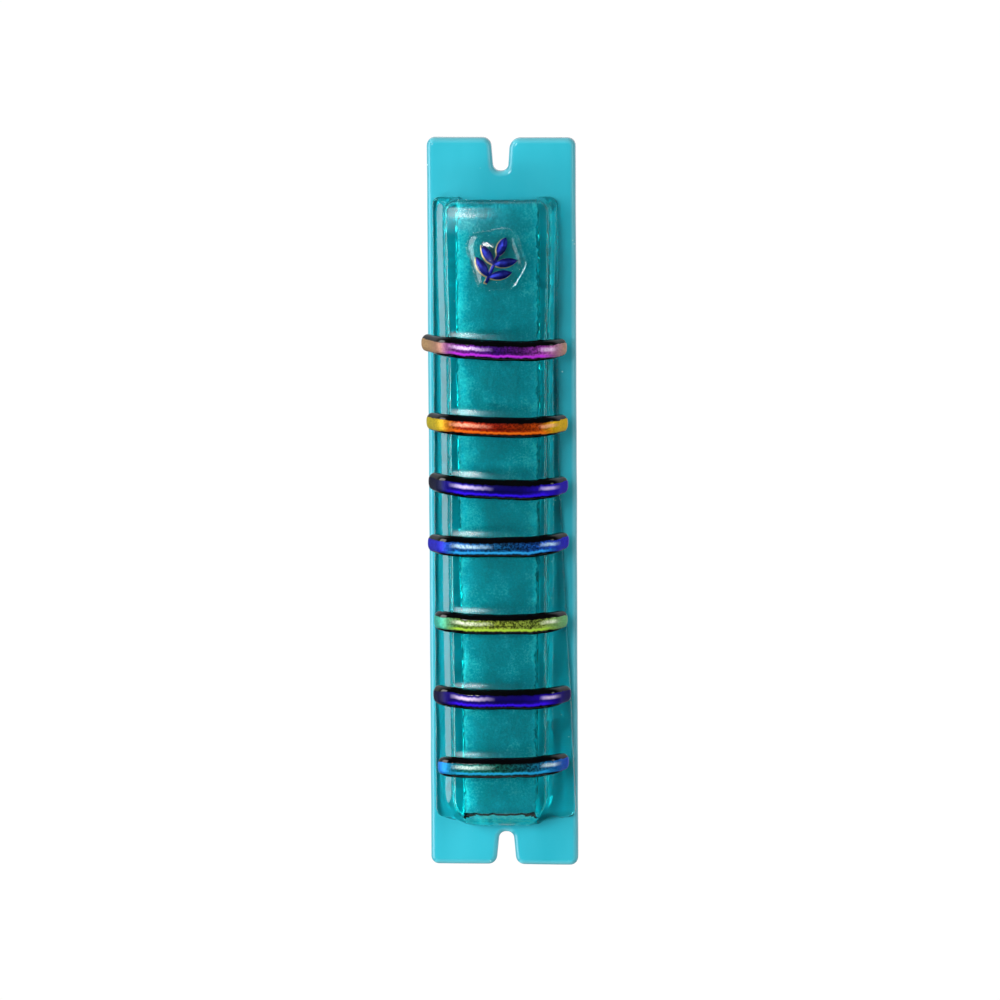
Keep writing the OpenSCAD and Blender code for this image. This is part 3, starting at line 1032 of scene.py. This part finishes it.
# Each facing's six colours from its left tip to its right, where along it the last two sit, the colours
# of its painted reflection on the lower edge and of its painted glints, how grainy it is, and how dark
# the painted shade in its middle falls
FACINGS = {
    1: ("a4845c 9c7064 b040d8 8424f0 d858e8 d8a890", (0.8, 0.95), "d838f8", "fbe0ff", 0.8, 0.9),
    2: ("aa9c20 b89a1c ff4c24 ff3c10 ff6418 ffcc20", (0.78, 0.88), "ff7818", "ffc09c", 0.8, 0.7),
    3: ("060a1c 0c1038 2410c0 1a0ca8 3018d8 2c18c0", (0.8, 0.95), "3414ff", "e4d4ff", 0.25, 0.8),
    4: ("221ea8 2429b8 2488f0 28a0f4 2870f8 2c2cd8", (0.8, 0.93), "34b8ff", "d8fcff", 1.0, 0.7),
    5: ("309a94 44ac90 98c44c c8e050 b0d058 84d08c", (0.8, 0.95), "c0f048", "fffff0", 1.0, 0.2),
    6: ("06031c 0c0638 240ca8 1c0898 2c10c0 180a60", (0.8, 0.95), "3c14ff", "f4dcff", 0.1, 0.7),
    7: ("1868d8 1c84d8 24b8b0 34ccb4 249cdc 2058d8", (0.8, 0.95), "24b0f0", "ecfff8", 0.9, 0.9),
}


# ------------------------ studio

def aim(obj, direction, distance, roll=0.0):
    """Puts an object out along a direction from the case's middle and turns it to face it."""
    centre = Vector((0, -PLATE_T * MM, 0))
    turn = direction.to_track_quat("Z", "Y").to_matrix() @ Matrix.Rotation(roll, 3, "Z")
    obj.matrix_world = Matrix.Translation(centre + direction * distance) @ turn.to_4x4()


def heading(azimuth, elevation):
    """The direction out from the case's front, turned right by azimuth and raised."""
    a, e = math.radians(azimuth), math.radians(elevation)
    return Vector((math.sin(a) * math.cos(e), -math.cos(a) * math.cos(e), math.sin(e)))


def softbox(name, azimuth, elevation, distance, width, height, power, mirrored):
    """A rectangular lamp aimed at the case; smooth glass shows its reflection where mirrored."""
    light = bpy.data.lights.new(name, "AREA")
    light.shape = "RECTANGLE"
    light.size, light.size_y = width, height
    light.energy = power
    lamp = add_object(name, light)
    aim(lamp, heading(azimuth, elevation), distance)
    lamp.visible_camera = False
    lamp.visible_glossy = mirrored


# Each lamp's azimuth and elevation in degrees, its distance, width and height in metres, its power in
# watts, and whether smooth glass mirrors it
LAMPS = {
    "key_left": (-16, 12, 1.3, 0.17, 0.3, 2.8, True),
    "side_left": (-68, 5, 1.2, 0.8, 2.0, 23, True),
    "fill_right": (55, 10, 1.4, 0.35, 1.0, 2.8, True),
    "front_soft": (-25, 10, 1.3, 0.5, 0.5, 6.5, False),
    "right_soft": (50, 10, 1.3, 0.5, 0.5, 2.5, False),
    "low_fill": (-5, -34, 0.65, 0.8, 0.15, 1.4, False),
}


def build_camera():
    """A long lens, a little above and to the right of the case."""
    distance, frame_mm, sensor_mm = 2.3, 208.1, 36
    camera = bpy.data.cameras.new("camera")
    camera.sensor_width = sensor_mm
    camera.lens = sensor_mm * distance / (frame_mm * MM)
    camera.shift_x, camera.shift_y = -0.003, 0.0013
    eye = add_object("camera", camera)
    aim(eye, heading(2.0, 6.4), distance, math.radians(-0.33))
    bpy.context.scene.camera = eye


def build_floor():
    """A wide pale disc well below the case, out of the camera's view."""
    radius, drop, rings, around = 0.6, 2.0, 3, 96
    top = PLATE_Z[0] * MM - drop
    points = [(0, 0, top)]
    for ring in range(1, rings + 1):
        out = radius * ring / rings
        for k in range(around):
            angle = 2 * math.pi * k / around
            points.append((out * math.cos(angle), out * math.sin(angle), top))
    faces = [(0, 1 + k, 1 + (k + 1) % around) for k in range(around)]
    faces += strips(rings, around, closed=True, first=1, flip=True)
    mesh = bpy.data.meshes.new("floor")
    mesh.from_pydata(points, [], faces)
    floor = add_object("floor", mesh)
    n = Nodes("floor")
    n.paint(n.ramp(n.grain(60, detail=3), [(0.3, "e6e6e4"), (0.7, "f0f0ee")]))
    n.set(Roughness=0.8)
    mesh.materials.append(n.material)


def build_world():
    """A white backdrop behind the case, and a dim room in front for the glass to reflect."""
    backdrop_strength, room_tint = 1.02, (0.92, 0.96, 1.0, 1)
    # The room's strength along two axes: where each starts and ends, then its levels there
    fades = (("Y", (-0.1, 0.4), (0.025, 0.75)), ("Z", (-0.7, -0.2), (0.1, 1.0)))
    world = bpy.data.worlds.new("studio")
    bpy.context.scene.world = world
    world.use_nodes = True
    nodes, links = world.node_tree.nodes, world.node_tree.links
    backdrop, room = nodes["Background"], nodes.new("ShaderNodeBackground")
    backdrop.inputs["Color"].default_value = WHITE
    backdrop.inputs["Strength"].default_value = backdrop_strength
    room.inputs["Color"].default_value = room_tint
    split = nodes.new("ShaderNodeSeparateXYZ")
    links.new(nodes.new("ShaderNodeTexCoord").outputs["Generated"], split.inputs["Vector"])
    strength = nodes.new("ShaderNodeMath")
    strength.operation = "MULTIPLY"
    for (axis, reach, levels), factor in zip(fades, strength.inputs):
        fade = nodes.new("ShaderNodeMapRange")
        links.new(split.outputs[axis], fade.inputs["Value"])
        for socket, value in zip(("From Min", "From Max", "To Min", "To Max"), reach + levels):
            fade.inputs[socket].default_value = value
        links.new(fade.outputs["Result"], factor)
    links.new(strength.outputs["Value"], room.inputs["Strength"])
    mix = nodes.new("ShaderNodeMixShader")
    links.new(nodes.new("ShaderNodeLightPath").outputs["Is Camera Ray"], mix.inputs["Fac"])
    links.new(room.outputs["Background"], mix.inputs[1])
    links.new(backdrop.outputs["Background"], mix.inputs[2])
    links.new(mix.outputs["Shader"], nodes["World Output"].inputs["Surface"])


# ------------------------ assembly

build_plate(plate_material())
bands = [Band(index) for index in BAND_SETTLING]
build_cover(bands, cover_material(), frosted_material(), fold_material(), fused_material())
black_glass = bar_material()
for band in bands:
    build_bar(band, black_glass)
    build_facing(band, facing_material(band.index, *FACINGS[band.index]))
build_cabochon(clear_material())
pale_gold = foil_material("pale_gold", "c8b070", "f0e4b0")
build_sprig("foil_sprig_edge", pale_gold, (-0.18, -0.14), 0.1, 0.08, 0.16, [])
blue_foil = foil_material("foil", "0c1478", "2430a8")
build_sprig("foil_sprig_face", blue_foil, (0, 0), 0.0, 0.18, 0.26, ["foil_sprig"])
build_roll(parchment_material())

build_floor()
build_world()
for name, numbers in LAMPS.items():
    softbox(name, *numbers)
build_camera()
bpy.context.scene.view_settings.view_transform = "Standard"
bpy.context.scene.cycles.blur_glossy = 0.0
